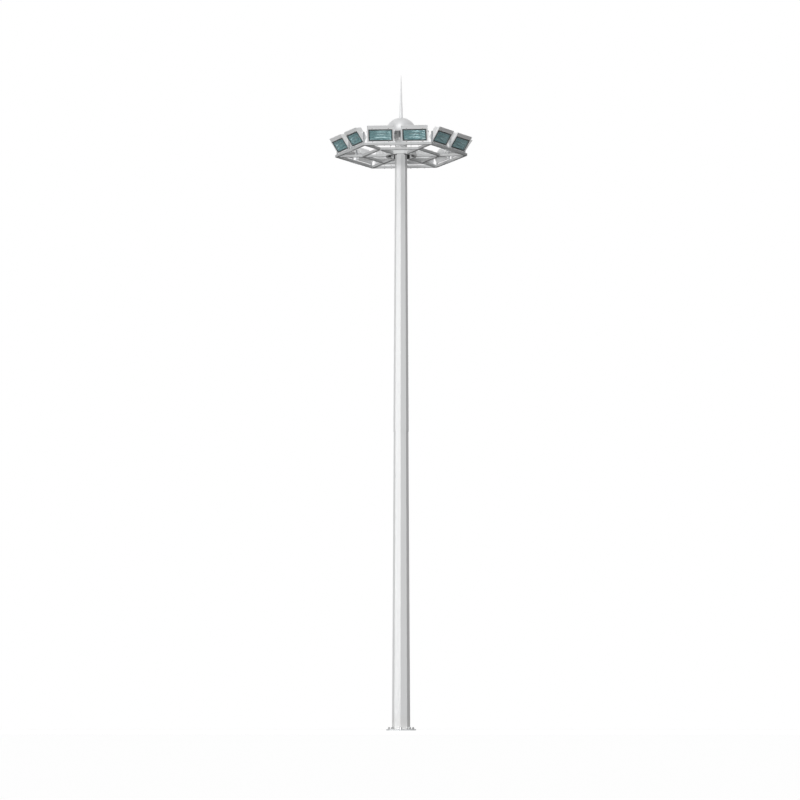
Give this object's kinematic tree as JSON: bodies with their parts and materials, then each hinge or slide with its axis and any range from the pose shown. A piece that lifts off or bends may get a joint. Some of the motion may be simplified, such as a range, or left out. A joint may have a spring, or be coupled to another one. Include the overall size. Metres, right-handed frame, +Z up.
{
  "type": "high mast floodlight tower",
  "caption": "Tapered eight-sided high mast with a lowering six-sided ring of tilting floodlights, a domed pulley head and a lightning rod.",
  "frame": {"origin": "centre of the base flange's underside, on the ground", "axes": "+Z up along the shaft; -Y is the front, square to one side of the lamp ring; +X to the right seen from the front"},
  "size_m": [3.602, 3.299, 16.507],
  "materials": {
    "white_paint": "satin",
    "galvanised_steel": "satin",
    "frame_paint": "satin",
    "dome_shell": "gloss",
    "rod_metal": "satin",
    "cast_iron": "satin",
    "wire_rope": "satin",
    "buffer_rubber": "matte",
    "lamp_housing": "satin",
    "lamp_glass": "gloss"
  },
  "bodies": {
    "mast": {"base_flange": "galvanised_steel", "lower_shaft": "white_paint", "upper_shaft": "white_paint", "service_door": "white_paint", "head_plate": "white_paint", "sheave_cheeks": "white_paint", "sheaves": "cast_iron", "sheave_axles": "galvanised_steel", "crown_plate": "white_paint", "dome": "dome_shell", "lightning_rod": "rod_metal", "rope_turns": "wire_rope", "hoist_ropes": "wire_rope"},
    "carriage": {"hub_ring": "frame_paint", "radial_arms": "frame_paint", "inner_beams": "frame_paint", "outer_beams": "frame_paint", "rope_anchors": "galvanised_steel", "guide_buffers": "buffer_rubber", "yoke_straps": "galvanised_steel", "yoke_arms": "galvanised_steel"},
    "lamp_front_1": {"housing_front_1": "lamp_housing", "glass_front_1": "lamp_glass"},
    "lamp_front_2": {"housing_front_2": "lamp_housing", "glass_front_2": "lamp_glass"},
    "lamp_front_right_1": {"housing_front_right_1": "lamp_housing", "glass_front_right_1": "lamp_glass"},
    "lamp_front_right_2": {"housing_front_right_2": "lamp_housing", "glass_front_right_2": "lamp_glass"},
    "lamp_back_right_1": {"housing_back_right_1": "lamp_housing", "glass_back_right_1": "lamp_glass"},
    "lamp_back_right_2": {"housing_back_right_2": "lamp_housing", "glass_back_right_2": "lamp_glass"},
    "lamp_back_1": {"housing_back_1": "lamp_housing", "glass_back_1": "lamp_glass"},
    "lamp_back_2": {"housing_back_2": "lamp_housing", "glass_back_2": "lamp_glass"},
    "lamp_back_left_1": {"housing_back_left_1": "lamp_housing", "glass_back_left_1": "lamp_glass"},
    "lamp_back_left_2": {"housing_back_left_2": "lamp_housing", "glass_back_left_2": "lamp_glass"},
    "lamp_front_left_1": {"housing_front_left_1": "lamp_housing", "glass_front_left_1": "lamp_glass"},
    "lamp_front_left_2": {"housing_front_left_2": "lamp_housing", "glass_front_left_2": "lamp_glass"}
  },
  "joints": [
    {"name": "carriage_hoist", "type": "slide", "parent": "mast", "child": "carriage", "axis": [0, 0, 1], "range_m": [-13, 0], "deforming": ["hoist_ropes"]},
    {"name": "tilt_front_1", "type": "hinge", "parent": "carriage", "child": "lamp_front_1", "pos_m": [-0.422, -1.41973, 14.74325], "axis": [1, 0, 0], "range_deg": [-35, 20]},
    {"name": "tilt_front_2", "type": "hinge", "parent": "carriage", "child": "lamp_front_2", "pos_m": [0.422, -1.41973, 14.74325], "axis": [1, 0, 0], "range_deg": [-35, 20]},
    {"name": "tilt_front_right_1", "type": "hinge", "parent": "carriage", "child": "lamp_front_right_1", "pos_m": [1.01852, -1.07533, 14.74325], "axis": [0.5, 0.866, 0], "range_deg": [-35, 20]},
    {"name": "tilt_front_right_2", "type": "hinge", "parent": "carriage", "child": "lamp_front_right_2", "pos_m": [1.44052, -0.3444, 14.74325], "axis": [0.5, 0.866, 0], "range_deg": [-35, 20]},
    {"name": "tilt_back_right_1", "type": "hinge", "parent": "carriage", "child": "lamp_back_right_1", "pos_m": [1.44052, 0.3444, 14.74325], "axis": [-0.5, 0.866, 0], "range_deg": [-35, 20]},
    {"name": "tilt_back_right_2", "type": "hinge", "parent": "carriage", "child": "lamp_back_right_2", "pos_m": [1.01852, 1.07533, 14.74325], "axis": [-0.5, 0.866, 0], "range_deg": [-35, 20]},
    {"name": "tilt_back_1", "type": "hinge", "parent": "carriage", "child": "lamp_back_1", "pos_m": [0.422, 1.41973, 14.74325], "axis": [-1, 0, 0], "range_deg": [-35, 20]},
    {"name": "tilt_back_2", "type": "hinge", "parent": "carriage", "child": "lamp_back_2", "pos_m": [-0.422, 1.41973, 14.74325], "axis": [-1, 0, 0], "range_deg": [-35, 20]},
    {"name": "tilt_back_left_1", "type": "hinge", "parent": "carriage", "child": "lamp_back_left_1", "pos_m": [-1.01852, 1.07533, 14.74325], "axis": [-0.5, -0.866, 0], "range_deg": [-35, 20]},
    {"name": "tilt_back_left_2", "type": "hinge", "parent": "carriage", "child": "lamp_back_left_2", "pos_m": [-1.44052, 0.3444, 14.74325], "axis": [-0.5, -0.866, 0], "range_deg": [-35, 20]},
    {"name": "tilt_front_left_1", "type": "hinge", "parent": "carriage", "child": "lamp_front_left_1", "pos_m": [-1.44052, -0.3444, 14.74325], "axis": [0.5, -0.866, 0], "range_deg": [-35, 20]},
    {"name": "tilt_front_left_2", "type": "hinge", "parent": "carriage", "child": "lamp_front_left_2", "pos_m": [-1.01852, -1.07533, 14.74325], "axis": [0.5, -0.866, 0], "range_deg": [-35, 20]}
  ]
}
